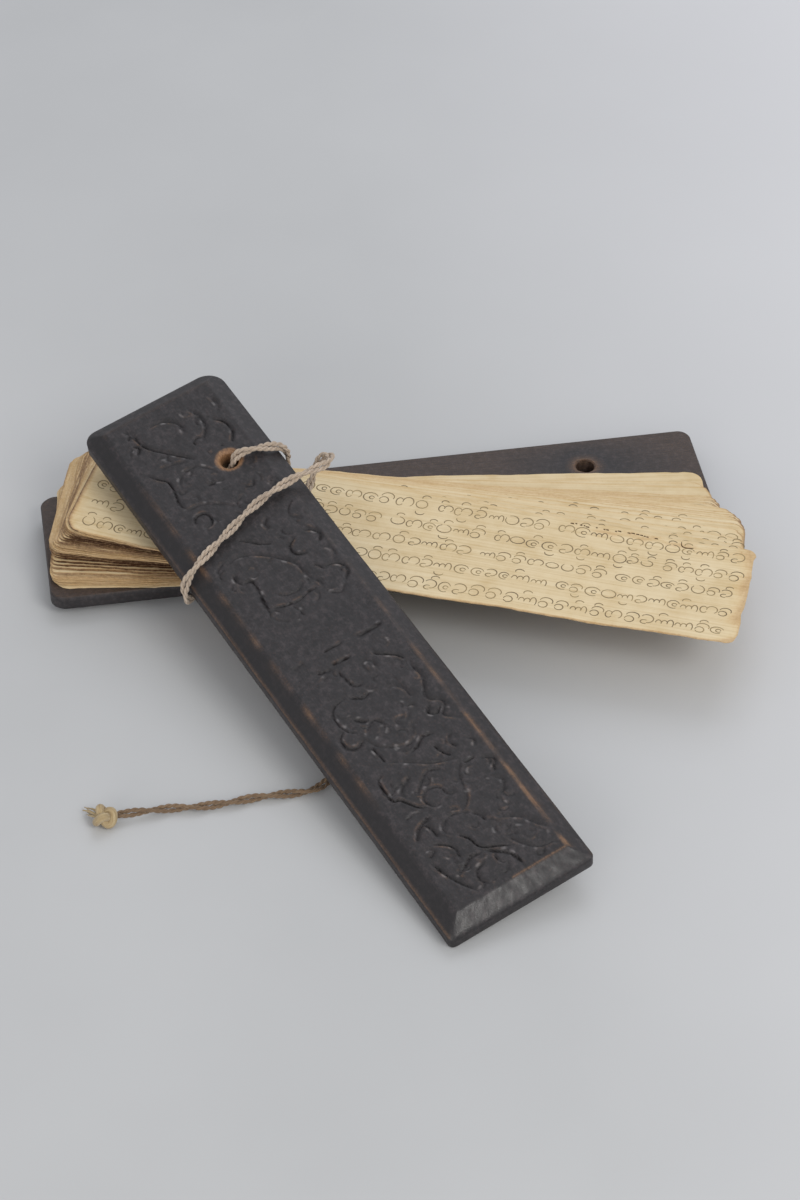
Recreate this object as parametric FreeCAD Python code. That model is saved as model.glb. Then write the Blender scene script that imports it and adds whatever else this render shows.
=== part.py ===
import FreeCAD, Part
import math
import os

# Palm leaf manuscript, opened: two carved wooden covers, thirty-two inscribed leaves and one cord.
# Millimetres. The origin is the middle of the lower cover's resting face.
# +X runs along the lower cover away from its strung end, +Y toward the back, +Z up.

V = FreeCAD.Vector

# Covers: planks with a flat inner face and a bevel all round the outer face
COVER_LENGTH = 230.0
COVER_WIDTH = 52.4
COVER_THICK = 9.0
COVER_SIDE = 5.0
UPPER_CORNERS = [2.0, 7.0, 5.0, 2.0]
LOWER_CORNERS = [4.0, 5.0, 5.0, 4.0]
BEVEL_WIDTH = 6.5
RIDGE_CORNER = 1.6
ARRIS_ROUND = 0.7
HOLE_FROM_END = 39.0
HOLE_OFF_CENTRE = 9.5
FREE_HOLE_FROM_END = 40.0
FREE_HOLE_OFF_CENTRE = 12.5
HOLE_DIA = 6.5
WORN_DIA = 10.5
WORN_DEPTH = 1.5
KNOT_SEAT_DIA = 10.0
KNOT_SEAT_DEPTH = 5.0

# Leaves: thin strips strung on the cord, each a little different
LEAF_COUNT = 32
LEAF_LENGTH = 224.5
TOP_LEAF_LENGTH = 226.5
LEAF_WIDTH = 49.4
LEAF_THICK = 0.42
LEAF_PITCH = 0.468
LEAF_BASE = COVER_THICK + 0.03
LEAF_HOLE_DIA = 6.8
LEAF_HOLE_FROM_END = 34.0
LEAF_HOLE_OFF_CENTRE = 7.5
LEAF_BELLY = 1.4
LEAF_FLARE = 2.2
STACK_TOP = 24.0

# Fan of the leaves, degrees about the vertical: (leaf counted from the lowest as 0, angle)
FAN = [(0, -6.6), (1, -8.2), (3, -9.0), (4, -10.0), (6, -10.6), (7, -12.2), (15, -14.8), (26, -18.0)]
FAN_TOP = (-18.9, -19.8, -21.2, -22.4, -23.5)

# Way of the strung cord through the leaf holes, from the lower cover's face to the top leaf
LEAN = [(-76.0, 9.5, 9.4), (-74.4, 10.8, 14.8), (-70.6, 9.9, 19.4), (-64.1, 5.0, 24.0)]

# Upper cover: leans on the top leaf's front edge, one corner on the table
UPPER_YAW = -66.51
LEAN_GAP = 4.4
TABLE_CORNER = (-7.90, -189.52)
CORNER_SINK = 0.32

# Cord
CORD_DIA = 3.2
STRUNG_DIA = 2.3
CORD_OFF = 2.4
FACE_LEVEL = COVER_THICK + 2.2
UNDER_LEVEL = -2.15


def unit(yaw):
    a = math.radians(yaw)
    return V(math.cos(a), math.sin(a), 0)


# Plan outline with rounded corners as one closed wire, wider by the flare at its -X end
def rounded_outline(x_half, y_half, corners, belly, flare, z):
    xs = [x_half, -x_half, -x_half, x_half]
    ys = [y_half, y_half + flare, -y_half - flare, -y_half]
    turns = [(1, 1), (-1, 1), (-1, -1), (1, -1)]
    starts = []
    ends = []
    edges = []
    for n in range(4):
        r = corners[n]
        sx, sy = turns[n]
        centre = V(xs[n] - sx * r, ys[n] - sy * r, z)
        on_side = centre + V(sx * r, 0, 0)
        on_edge = centre + V(0, sy * r, 0)
        middle = centre + V(sx * r * math.sqrt(0.5), sy * r * math.sqrt(0.5), 0)
        first, last = (on_side, on_edge) if n % 2 == 0 else (on_edge, on_side)
        starts.append(first)
        ends.append(last)
        edges.append((Part.Arc(first, middle, last).toShape(), n))
    wire = []
    for n in range(4):
        wire.append(edges[n][0])
        a = ends[n]
        b = starts[(n + 1) % 4]
        if n % 2 == 0 and belly > 0:
            out = V(0, belly if n == 0 else -belly, 0)
            wire.append(Part.Arc(a, (a + b) * 0.5 + out, b).toShape())
        else:
            wire.append(Part.LineSegment(a, b).toShape())
    return Part.Wire(wire)


# Plank lying with its inner face on z = 0 and its bevelled outer face up
def plank(corners):
    half_l = COVER_LENGTH / 2
    half_w = COVER_WIDTH / 2
    outer = rounded_outline(half_l, half_w, corners, 0, 0, COVER_SIDE)
    ridge = rounded_outline(half_l - BEVEL_WIDTH, half_w - BEVEL_WIDTH, [RIDGE_CORNER] * 4, 0, 0, COVER_THICK)
    base = rounded_outline(half_l, half_w, corners, 0, 0, 0)
    slab = Part.Face(base).extrude(V(0, 0, COVER_SIDE))
    crown = Part.makeLoft([outer, ridge], True, True)
    body = slab.fuse(crown).removeSplitter()
    low = [e for e in body.Edges if max(abs(v.Z) for v in e.Vertexes) < 0.01]
    return body.makeFillet(ARRIS_ROUND, low)


def drill(body, x, y, dia, low, high):
    return body.cut(Part.makeCylinder(dia / 2, high - low, V(x, y, low)))


# Upper cover in its own frame: u from the strung end, v from the middle, w from the inner face
def upper_plank():
    body = plank(UPPER_CORNERS)
    body.translate(V(COVER_LENGTH / 2, 0, 0))
    body = drill(body, HOLE_FROM_END, HOLE_OFF_CENTRE, HOLE_DIA, -1, COVER_THICK + 1)
    worn = Part.makeCone(HOLE_DIA / 2, WORN_DIA / 2, WORN_DEPTH, V(HOLE_FROM_END, HOLE_OFF_CENTRE, COVER_THICK - WORN_DEPTH))
    return body.cut(worn)


def lower_plank():
    body = plank(LOWER_CORNERS)
    body.rotate(V(0, 0, 0), V(1, 0, 0), 180)
    body.translate(V(0, 0, COVER_THICK))
    strung = -COVER_LENGTH / 2 + HOLE_FROM_END
    free = COVER_LENGTH / 2 - FREE_HOLE_FROM_END
    body = drill(body, strung, HOLE_OFF_CENTRE, HOLE_DIA, -1, COVER_THICK + 1)
    body = drill(body, free, FREE_HOLE_OFF_CENTRE, HOLE_DIA, -1, COVER_THICK + 1)
    return drill(body, strung, HOLE_OFF_CENTRE, KNOT_SEAT_DIA, -1, KNOT_SEAT_DEPTH)


# Fixed spread of small differences between the leaves, from -1 to 1
def spread(n, k):
    return math.sin(12.9898 * (n + 1) + 78.233 * (k + 1))


# Value of a table of (place, value) pairs between its entries
def between(table, at):
    for n in range(1, len(table)):
        if at <= table[n][0]:
            break
    low, high = table[n - 1], table[n]
    part = max(0.0, (at - low[0]) / (high[0] - low[0]))
    return low[1] + (high[1] - low[1]) * part


STRUNG = V(-COVER_LENGTH / 2 + HOLE_FROM_END, HOLE_OFF_CENTRE, 0)


# Middle of the leaf holes at one height
def cord_centre(z):
    return between([(p[2], V(p[0], p[1], 0)) for p in LEAN], z)


def fan_angle(n):
    close = LEAF_COUNT - len(FAN_TOP)
    if n >= close:
        return FAN_TOP[n - close]
    return between(FAN, n) + (0.0 if n == 0 else 0.25 * spread(n, 5))


def leaf(n):
    top_one = n == LEAF_COUNT - 1
    length = TOP_LEAF_LENGTH if top_one else LEAF_LENGTH + 1.6 * spread(n, 0)
    hole_at = LEAF_HOLE_FROM_END + (0 if top_one else 0.7 * spread(n, 6))
    wide_half = LEAF_WIDTH / 2 - LEAF_BELLY - LEAF_FLARE / 2 + (0 if top_one else 0.45 * spread(n, 1))
    corners = [4.0 + 1.6 * spread(n, 2 + k) for k in range(4)]
    z = LEAF_BASE + n * LEAF_PITCH
    outline = rounded_outline(length / 2, wide_half, corners, LEAF_BELLY, LEAF_FLARE, z)
    plate = Part.Face(outline).extrude(V(0, 0, LEAF_THICK))
    hole = V(-length / 2 + hole_at, LEAF_HOLE_OFF_CENTRE, 0)
    plate = drill(plate, hole.x, hole.y, LEAF_HOLE_DIA, z - 1, z + 1)
    plate.translate(V(0, 0, 0) - hole)
    plate.rotate(V(0, 0, 0), V(0, 0, 1), fan_angle(n))
    plate.translate(cord_centre(z + LEAF_THICK / 2))
    return plate


# Upper cover's place: its inner face holds the line LEAN_GAP over the top leaf's front edge
LEAF_FRONT = unit(FAN_TOP[-1] - 90)
TOP_HOLE_TO_FRONT = LEAF_WIDTH / 2 + LEAF_HOLE_OFF_CENTRE
EDGE_REACH = cord_centre(STACK_TOP).dot(LEAF_FRONT) + TOP_HOLE_TO_FRONT
# the sharp corner would lie a little under the table, so that the rounded one touches it
CORNER = V(TABLE_CORNER[0], TABLE_CORNER[1], -CORNER_SINK)
FALL = CORNER.dot(LEAF_FRONT) - EDGE_REACH
TILT = math.atan((STACK_TOP + LEAN_GAP + CORNER_SINK) / FALL)
NORMAL = V(0, 0, math.cos(TILT)) + LEAF_FRONT * math.sin(TILT)
ALONG = unit(UPPER_YAW + 90).cross(NORMAL).normalize()
ACROSS = NORMAL.cross(ALONG)
END = CORNER - ALONG * COVER_LENGTH + ACROSS * (COVER_WIDTH / 2)


# A point given in the upper cover's own frame
def on_cover(u, v, w):
    return END + ALONG * u + ACROSS * v + NORMAL * w


def placed_on_cover(shape):
    m = FreeCAD.Matrix()
    m.A11, m.A12, m.A13, m.A14 = ALONG.x, ACROSS.x, NORMAL.x, END.x
    m.A21, m.A22, m.A23, m.A24 = ALONG.y, ACROSS.y, NORMAL.y, END.y
    m.A31, m.A32, m.A33, m.A34 = ALONG.z, ACROSS.z, NORMAL.z, END.z
    placed = shape.copy()
    placed.Placement = FreeCAD.Placement(m).multiply(placed.Placement)
    return placed


# Cord: straight runs joined by tangent arcs, swept by a round section
def cord(name, points, dia):
    edges = []
    radii = []
    last = points[0]
    for n in range(1, len(points) - 1):
        p = points[n]
        back = points[n - 1] - p
        ahead = points[n + 1] - p
        short = min(back.Length, ahead.Length)
        back.normalize()
        ahead.normalize()
        turn = math.pi - back.getAngle(ahead)
        reach = 0.45 * short
        radius = reach / math.tan(turn / 2)
        radii.append(radius)
        a = p + back * reach
        b = p + ahead * reach
        inward = (back + ahead).normalize()
        middle = p + inward * (radius / math.cos(turn / 2) - radius)
        edges.append(Part.LineSegment(last, a).toShape())
        edges.append(Part.Arc(a, middle, b).toShape())
        last = b
    edges.append(Part.LineSegment(last, points[-1]).toShape())
    path = Part.Wire(edges)
    start = (points[1] - points[0]).normalize()
    section = Part.Wire([Part.Circle(points[0], start, dia / 2).toShape()])
    tube = path.makePipeShell([section], True, True)
    drawn = math.pi * dia ** 2 / 4 * path.Length
    print(name, "length", round(path.Length, 1), "volume/drawn", round(tube.Volume / drawn, 4))
    print("  radii", [round(r, 1) for r in radii])
    return tube


# Knot: a squat ball with a flat where the cord enters it, the way the cord runs
def knot(entry, way, reach, across, thick):
    squash = FreeCAD.Matrix()
    squash.scale(1, 1, thick / across)
    ball = Part.makeSphere(across / 2).transformGeometry(squash)
    ball.translate(entry + way * reach)
    box = Part.makeBox(2 * across, 2 * across, across, V(-across, -across, -across))
    box.Placement = FreeCAD.Placement(entry, FreeCAD.Rotation(V(0, 0, 1), way))
    return ball.cut(box)


# Way in which a route ends
def heading(points):
    return (points[-1] - points[-2]).normalize()


# Cord route, from the stop knot under the lower cover to the end knot on the table
KNOT_TOP = V(STRUNG.x, STRUNG.y, KNOT_SEAT_DEPTH - 0.4)
LEAN_WAY = (V(*LEAN[-1]) - V(*LEAN[-2])).normalize()
RISER_END = V(*LEAN[-1]) + LEAN_WAY * 1.0
RISER = [KNOT_TOP, V(*LEAN[0]), V(*LEAN[1]), V(*LEAN[2]), RISER_END]

HOLE_MOUTH = (HOLE_FROM_END, HOLE_OFF_CENTRE)
LINK = [
    RISER_END,
    RISER_END + heading(RISER) * 4.5,
    on_cover(HOLE_MOUTH[0], HOLE_MOUTH[1], -5.4),
    on_cover(HOLE_MOUTH[0], HOLE_MOUTH[1], -0.4),
]

SIDE = COVER_WIDTH / 2 + CORD_OFF
SHOULDER = COVER_SIDE + 1.7
RIDGE = COVER_WIDTH / 2 - BEVEL_WIDTH + 0.9

# out of the hole, over the back edge, under, round the front edge, over the face, and a loose hook
WRAP_LOCAL = [
    (39.0, 9.5, -0.4),
    (39.0, 9.5, FACE_LEVEL - 0.1),
    (42.4, RIDGE, FACE_LEVEL + 0.1),
    (43.2, SIDE, SHOULDER),
    (44.6, SIDE, UNDER_LEVEL - 0.1),
    (49.6, 19.5, UNDER_LEVEL),
    (57.6, 3.5, UNDER_LEVEL - 0.1),
    (67.2, -13.0, UNDER_LEVEL),
    (75.2, -SIDE, UNDER_LEVEL - 0.1),
    (73.2, -SIDE, SHOULDER),
    (71.0, -RIDGE, FACE_LEVEL + 0.1),
    (66.8, -8.5, FACE_LEVEL),
    (60.8, 7.5, FACE_LEVEL + 0.1),
    (59.4, 22.0, FACE_LEVEL + 0.2),
    (59.9, 30.4, FACE_LEVEL - 0.3),
    (59.8, 36.6, FACE_LEVEL - 1.8),
    (54.4, 39.2, FACE_LEVEL - 4.0),
    (52.2, 35.4, 3.0),
    (55.4, 30.9, -1.5),
    (60.8, 22.1, UNDER_LEVEL - 0.2),
    (69.3, 10.6, UNDER_LEVEL - 0.1),
    (76.3, 0.1, UNDER_LEVEL - 0.2),
]
WRAP = [on_cover(*p) for p in WRAP_LOCAL]

TAIL_LEVEL = CORD_DIA / 2 + 0.15
LAST_FALL = V(-43.4, -67.5, 4.4)
FIRST_LAID = V(-34.6, -91.0, TAIL_LEVEL)
DROP_FOOT = (LAST_FALL + FIRST_LAID) * 0.5
DROP = [
    WRAP[-1],
    WRAP[-1] + heading(WRAP) * 6.5,
    V(-45.4, -56.5, 15.8),
    LAST_FALL,
    DROP_FOOT,
]
TAIL = [
    DROP_FOOT,
    FIRST_LAID,
    V(-29.5, -108.0, TAIL_LEVEL),
    V(-37.5, -120.5, TAIL_LEVEL),
    V(-55.0, -119.2, TAIL_LEVEL),
    V(-72.0, -121.2, TAIL_LEVEL),
    V(-88.0, -119.6, TAIL_LEVEL),
    V(-102.4, -121.4, TAIL_LEVEL + 1.4),
]
KNOT_REACH = 3.6

os.makedirs("parts", exist_ok=True)

nodes = {
    "lower_cover": lower_plank(),
    "upper_cover": placed_on_cover(upper_plank()),
    "stop_knot": knot(KNOT_TOP, V(0, 0, -1), 2.0, 8.6, 4.8),
    "cord_riser": cord("cord_riser", RISER, STRUNG_DIA),
    "cord_link": cord("cord_link", LINK, STRUNG_DIA),
    "cord_wrap": cord("cord_wrap", WRAP, CORD_DIA),
    "cord_drop": cord("cord_drop", DROP, CORD_DIA),
    "cord_tail": cord("cord_tail", TAIL, CORD_DIA),
    "end_knot": knot(TAIL[-1], heading(TAIL), KNOT_REACH, 8.4, 6.6),
}
for n in range(LEAF_COUNT):
    nodes["leaf_%02d" % (n + 1)] = leaf(n)

for name, shape in nodes.items():
    solid = shape.Solids[0]
    if len(shape.Solids) != 1 or not solid.isValid():
        print("CHECK", name, len(shape.Solids), solid.isValid())
    solid.exportStep("parts/%s.step" % name)

print("tilt", round(math.degrees(TILT), 3), "end", END, "along", ALONG, "across", ACROSS, "normal", NORMAL)
print("nodes", len(nodes))
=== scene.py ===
# %% [markdown]
# # A palm leaf manuscript, opened
#
# The real book is a pile of dried palm leaves between two wooden covers, held by one cord through
# a hole. Here the leaves are fanned, and the upper cover has been swung across and left leaning.
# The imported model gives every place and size, so this file only adds what the eye sees.

# %% The frame
import math
import random

import bmesh
import bpy
import numpy as np
from mathutils import Matrix, Vector


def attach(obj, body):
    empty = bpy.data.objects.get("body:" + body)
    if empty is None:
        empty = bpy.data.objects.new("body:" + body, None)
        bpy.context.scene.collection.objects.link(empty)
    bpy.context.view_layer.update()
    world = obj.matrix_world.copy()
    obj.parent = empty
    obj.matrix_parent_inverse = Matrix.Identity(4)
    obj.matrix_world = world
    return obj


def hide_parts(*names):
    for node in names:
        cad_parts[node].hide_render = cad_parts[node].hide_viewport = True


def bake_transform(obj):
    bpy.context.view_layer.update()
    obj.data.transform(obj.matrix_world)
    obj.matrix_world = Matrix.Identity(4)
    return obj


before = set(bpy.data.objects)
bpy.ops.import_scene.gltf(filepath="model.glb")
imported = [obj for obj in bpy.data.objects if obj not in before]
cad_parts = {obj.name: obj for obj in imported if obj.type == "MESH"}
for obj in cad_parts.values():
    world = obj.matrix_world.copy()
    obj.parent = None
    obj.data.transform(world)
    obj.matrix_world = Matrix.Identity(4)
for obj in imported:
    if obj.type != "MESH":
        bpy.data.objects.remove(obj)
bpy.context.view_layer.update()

MM = 0.001
print("pieces of the packed model:", len(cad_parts))

# %% [markdown]
# Colours are easy to read as sRGB hex, but shaders work in linear light, so one function turns them.
# A second small function adds a shader node: what it is given as a socket is linked, all else is set.
# The short ones after it name the few kinds of node that every material here needs.

# %% Colour and node helpers
def colour(code):
    parts = [int(code[n:n + 2], 16) / 255 for n in (0, 2, 4)]
    return tuple(c / 12.92 if c <= 0.04045 else ((c + 0.055) / 1.055) ** 2.4 for c in parts) + (1.0,)


def add(tree, kind, settings):
    node = tree.nodes.new("ShaderNode" + kind)
    for key, value in settings.items():
        if isinstance(value, bpy.types.NodeSocket):
            tree.links.new(value, node.inputs[key])
        elif isinstance(key, int) or key in node.inputs:
            node.inputs[key].default_value = value
        else:
            setattr(node, key, value)
    return node


def attribute(tree, name, kind="Fac"):
    return add(tree, "Attribute", {"attribute_name": name}).outputs[kind]


def noise(tree, source, scale, detail, roughness=0.5):
    settings = {"Vector": source, "Scale": scale, "Detail": detail, "Roughness": roughness}
    return add(tree, "TexNoise", settings).outputs[0]


def ramp(tree, source, *stops):
    node = add(tree, "ValToRGB", {0: source})
    elements = node.color_ramp.elements
    while len(elements) < len(stops):
        elements.new(0.5)
    for element, (place, code) in zip(elements, stops):
        element.position = place
        element.color = colour(code)
    return node.outputs[0]


def mix(tree, share, one, two):
    return add(tree, "Mix", {"data_type": "RGBA", 0: share, 6: one, 7: two}).outputs[2]


def maths(tree, operation, *terms, clamp=False):
    return add(tree, "Math", {"operation": operation, "use_clamp": clamp, **dict(enumerate(terms))}).outputs[0]


def bump(tree, height, strength, distance, below=None):
    settings = {"Height": height, "Strength": strength, "Distance": distance}
    return add(tree, "Bump", {**settings, "Normal": below} if below else settings).outputs[0]


def new_material(name):
    material = bpy.data.materials.new(name)
    material.use_nodes = True
    material.node_tree.nodes.clear()
    return material, material.node_tree


def finish_material(tree, settings):
    shader = add(tree, "BsdfPrincipled", settings)
    add(tree, "OutputMaterial", {0: shader.outputs[0]})


print("leaf colour in linear light:", [round(c, 3) for c in colour("dcc8a4")])

# %% [markdown]
# The covers are a dense dark hardwood, cut flat, carved, and blackened by oil and handling. Where
# hands and cord rub, on the ridges and round the hole, the bare wood shows orange-brown. The meshes
# carry four values a point: worn, which bares the wood, polish, which makes it shine, one that paints
# shade into the cuts and onto the -v bevel, and one that paints pale glints, with some dust, on a few
# sharp crests.

# %% Wood of the covers
def hardwood():
    material, tree = new_material("blackened_hardwood")
    place = attribute(tree, "grain", "Vector")
    worn, polish, recess, dusty = (attribute(tree, name) for name in ("worn", "polish", "recess", "dusty"))
    # pores run along the plank: about 0.4 mm wide and 12 mm long
    stretched = add(tree, "Mapping", {"Vector": place, "Scale": (0.08, 2.4, 2.4)}).outputs[0]
    pores = noise(tree, stretched, 1.0, 5.0, 0.62)
    # blotches of old oil are 2 mm across, handling stains a centimetre or two
    mottle = noise(tree, place, 0.5, 6.0, 0.72)
    stains = noise(tree, place, 0.11, 5.0, 0.65)
    grit = noise(tree, place, 1.7, 3.0, 0.7)
    dark = ramp(tree, stains, (0.32, "1a181a"), (0.52, "252224"), (0.72, "342f32"))
    fleck = ramp(tree, pores, (0.40, "151315"), (0.64, "454043"))
    blotch = ramp(tree, mottle, (0.40, "131113"), (0.52, "262325"), (0.62, "443d3f"))
    base = mix(tree, 0.5, mix(tree, 0.20, dark, fleck), blotch)
    red = ramp(tree, grit, (0.57, "000000"), (0.70, "ffffff"))
    reddish = mix(tree, maths(tree, "MULTIPLY", red, 0.40), base, colour("4d3833"))
    # painted shade: the cuts, by their depth, and the -v bevel are darkened towards near black
    dirt_and_shade = maths(tree, "MULTIPLY", recess, 0.85, clamp=True)
    tinted = mix(tree, dirt_and_shade, reddish, colour("171416"))
    # wear is broken up by the grit, so that it looks rubbed and not painted
    rough_worn = maths(tree, "MULTIPLY_ADD", grit, 1.9, -0.62)
    rubbed = maths(tree, "ADD", rough_worn, worn, clamp=True)
    share = maths(tree, "MULTIPLY", rubbed, worn, clamp=True)
    bare = ramp(tree, pores, (0.3, "745139"), (0.7, "b98d62"))
    # painted highlight, partly dust: pale grey glints on a few crests
    glinted_and_dusted = mix(tree, dusty, mix(tree, share, tinted, bare), colour("8b8788"))
    shine = maths(tree, "MULTIPLY_ADD", polish, -0.30, 0.52)
    finish_material(tree, {
        "Base Color": glinted_and_dusted, "Roughness": maths(tree, "MULTIPLY_ADD", grit, 0.16, shine),
        "IOR": 1.5, "Specular IOR Level": 0.55,
        "Normal": bump(tree, grit, 0.25, 0.0002, bump(tree, pores, 0.22, 0.0003))})
    return material


wood = hardwood()

# %% [markdown]
# A leaf is dried and pressed palm leaf: straw-coloured, with fine straight veins along its length,
# and browned where air and fingers reach it, at the edges and the ends. Each mesh point carries a
# stain value for that, so the stain follows the real outline. The marks on it are soot and oil rubbed
# into scratches and wiped off again, so they are grey-brown and uneven.

# %% Palm leaf, lampblack and charred leaf
def palm_leaf():
    material, tree = new_material("dried_palm_leaf")
    place = attribute(tree, "grain", "Vector")
    stain = attribute(tree, "stain")
    # veins 0.7 mm apart run the whole length
    along = add(tree, "Mapping", {"Vector": place, "Scale": (0.012, 1.4, 1.0)}).outputs[0]
    veins = noise(tree, along, 1.0, 4.0, 0.6)
    cloud = noise(tree, place, 0.07, 6.0, 0.62)
    speck = noise(tree, place, 0.9, 3.0, 0.7)
    pale = ramp(tree, cloud, (0.30, "c8ad7c"), (0.48, "dcc8a1"), (0.70, "e8d8b6"))
    streak = ramp(tree, veins, (0.30, "c2a878"), (0.50, "dfcba4"), (0.70, "ebdcbb"))
    foxing = ramp(tree, speck, (0.63, "000000"), (0.78, "ffffff"))
    foxed = maths(tree, "MULTIPLY", foxing, 0.30)
    spotted = mix(tree, foxed, mix(tree, 0.45, pale, streak), colour("a98350"))
    uneven = maths(tree, "MULTIPLY_ADD", speck, 0.8, -0.40)
    reach = maths(tree, "ADD", stain, uneven, clamp=True)
    share = maths(tree, "MULTIPLY", reach, stain, clamp=True)
    brown = ramp(tree, share, (0.0, "dfb768"), (0.35, "b9853f"), (0.7, "7a4d28"), (1.0, "452a18"))
    finish_material(tree, {
        "Base Color": mix(tree, share, spotted, brown), "Roughness": 0.62,
        "IOR": 1.45, "Specular IOR Level": 0.35, "Normal": bump(tree, veins, 0.35, 0.0002)})
    return material


def lampblack():
    material, tree = new_material("lampblack_in_scratches")
    patch = noise(tree, add(tree, "TexCoord", {}).outputs["Object"], 160.0, 3.0)
    tone = ramp(tree, patch, (0.35, "75664f"), (0.65, "a48f6a"))
    finish_material(tree, {"Base Color": tone, "Roughness": 0.75, "Specular IOR Level": 0.2})
    return material


def charred():
    material, tree = new_material("charred_leaf")
    finish_material(tree, {"Base Color": colour("57412a"), "Roughness": 0.8, "Specular IOR Level": 0.2})
    return material


leaf_material = palm_leaf()
mark_material = lampblack()
char_material = charred()

# %% [markdown]
# The cord is plant fibre: two plies laid together, each of two yarns. Its colour is pinkish beige where
# it is clean and brown where it has been handled. Fibres run along each yarn, slightly turned, about
# 0.5 mm apart.

# %% Twisted fibre cord
def fibre(name, light, middle, dark):
    material, tree = new_material(name)
    place = attribute(tree, "grain", "Vector")
    along = add(tree, "Mapping", {"Vector": place, "Scale": (0.25, 2.2, 1.0), "Rotation": (0, 0, 0.12)})
    strands = noise(tree, along.outputs[0], 1.0, 4.0, 0.7)
    dirt_and_shade = noise(tree, place, 0.13, 3.0)
    tone = ramp(tree, strands, (0.28, dark), (0.5, middle), (0.72, light))
    soiled = ramp(tree, dirt_and_shade, (0.35, dark), (0.6, middle))
    finish_material(tree, {
        "Base Color": mix(tree, 0.28, tone, soiled), "Roughness": 0.85, "Specular IOR Level": 0.2,
        "Sheen Weight": 0.25, "Sheen Roughness": 0.5, "Normal": bump(tree, strands, 0.6, 0.0003)})
    return material


cord_material = fibre("twisted_plant_fibre", "dccebd", "bfae9c", "85766a")
tail_material = fibre("handled_plant_fibre", "a48f72", "826b54", "564639")
knot_material = fibre("knotted_plant_fibre", "d2c3a0", "b5a17c", "8a7355")
print("materials:", len(bpy.data.materials))

# %% [markdown]
# Every piece below is a list of points in millimetres and a list of faces. The first helper turns them
# into an object in metres, with the values a point carries. The others number the faces of grids and
# rings, and make the smooth unevenness that a hand or the years leave.

# %% From points to a piece
def make_piece(name, points, faces, material, values=None, smooth=True):
    mesh = bpy.data.meshes.new(name)
    mesh.from_pydata((np.asarray(points, float) * MM).tolist(), [], [tuple(int(i) for i in f) for f in faces])
    for key, data in (values or {}).items():
        data = np.asarray(data, float)
        kind = "FLOAT_VECTOR" if data.ndim == 2 else "FLOAT"
        layer = mesh.attributes.new(key, kind, "POINT")
        layer.data.foreach_set("vector" if data.ndim == 2 else "value", data.ravel())
    mesh.validate()
    if smooth:
        mesh.shade_smooth()
    mesh.materials.append(material)
    piece = bpy.data.objects.new(name, mesh)
    bpy.context.scene.collection.objects.link(piece)
    return piece


def grid_faces(rows, columns):
    """Quads of a grid whose points are numbered row by row."""
    a = (np.arange(rows - 1)[:, None] * columns + np.arange(columns - 1)[None, :]).ravel()
    return np.stack([a, a + 1, a + columns + 1, a + columns], 1)


def grid_border(rows, columns):
    """Numbers of the points round the outside of such a grid, in order."""
    border = list(range(0, rows * columns, columns))
    border += list(range((rows - 1) * columns + 1, rows * columns))
    border += list(range((rows - 1) * columns - 1, 0, -columns))
    return border + list(range(columns - 2, 0, -1))


def ring_faces(loops):
    """Quads between loops of equal length, each a list of point numbers."""
    faces = []
    for one, two in zip(loops, loops[1:]):
        count = len(one)
        for n in range(count):
            m = (n + 1) % count
            faces.append((one[n], one[m], two[m], two[n]))
    return faces


def turned(faces):
    """The same faces, seen from their other side."""
    return [tuple(reversed(f)) for f in faces]


def rumple(x, y, size, seed):
    """Smooth unevenness from -1 to 1 made of a few crossing waves."""
    total = 0.0
    for n in range(5):
        turn = 2.4 * n + seed
        wave = size / (1 + 0.37 * n)
        across_waves = (x * math.cos(turn) + y * math.sin(turn)) * 2 * math.pi / wave
        total = total + np.sin(across_waves + 5.1 * n + seed * 1.7)
    return total / 3.2


print("helpers ready")

# %% [markdown]
# ## The covers
#
# A cover is a plank about 230 by 52 mm with a bevel all round its outer face. Two panels of scrolls and
# leaves are carved in it, about a millimetre deep: along each line of the ornament the knife goes
# straight down on one side, and the ground then rises back to the face within a few millimetres. A
# picture of that depth would look flat at a low light, so here the points of a fine grid are really
# lowered. The lines are drawn as a few points each.

# %% Lines of the ornament
COVER_LENGTH, COVER_WIDTH, COVER_THICK = 230.0, 52.4, 9.0
COVER_SIDE, BEVEL_WIDTH = 5.0, 6.5
UPPER_CORNERS, LOWER_CORNERS = [2.0, 7.0, 5.0, 2.0], [4.0, 5.0, 5.0, 4.0]
CARVED_DEPTH, CARVED_REACH = 0.95, 1.35
SMALL_DEPTH, SMALL_REACH = 0.5, 0.9
FACE_STEP = 0.4


def curve_through(points, step=0.35):
    """Points close together on a smooth line through the given ones."""
    p = [np.array(q, float) for q in points]
    p = [2 * p[0] - p[1]] + p + [2 * p[-1] - p[-2]]
    out = []
    for a, b, c, d in zip(p, p[1:], p[2:], p[3:]):
        count = max(2, int(np.linalg.norm(c - b) / step))
        for t in np.arange(count) / count:
            out.append(0.5 * (2 * b + (c - a) * t + (2 * a - 5 * b + 4 * c - d) * t * t
                              + (3 * b - a - 3 * c + d) * t ** 3))
    out.append(p[-2])
    return np.array(out)


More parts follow.
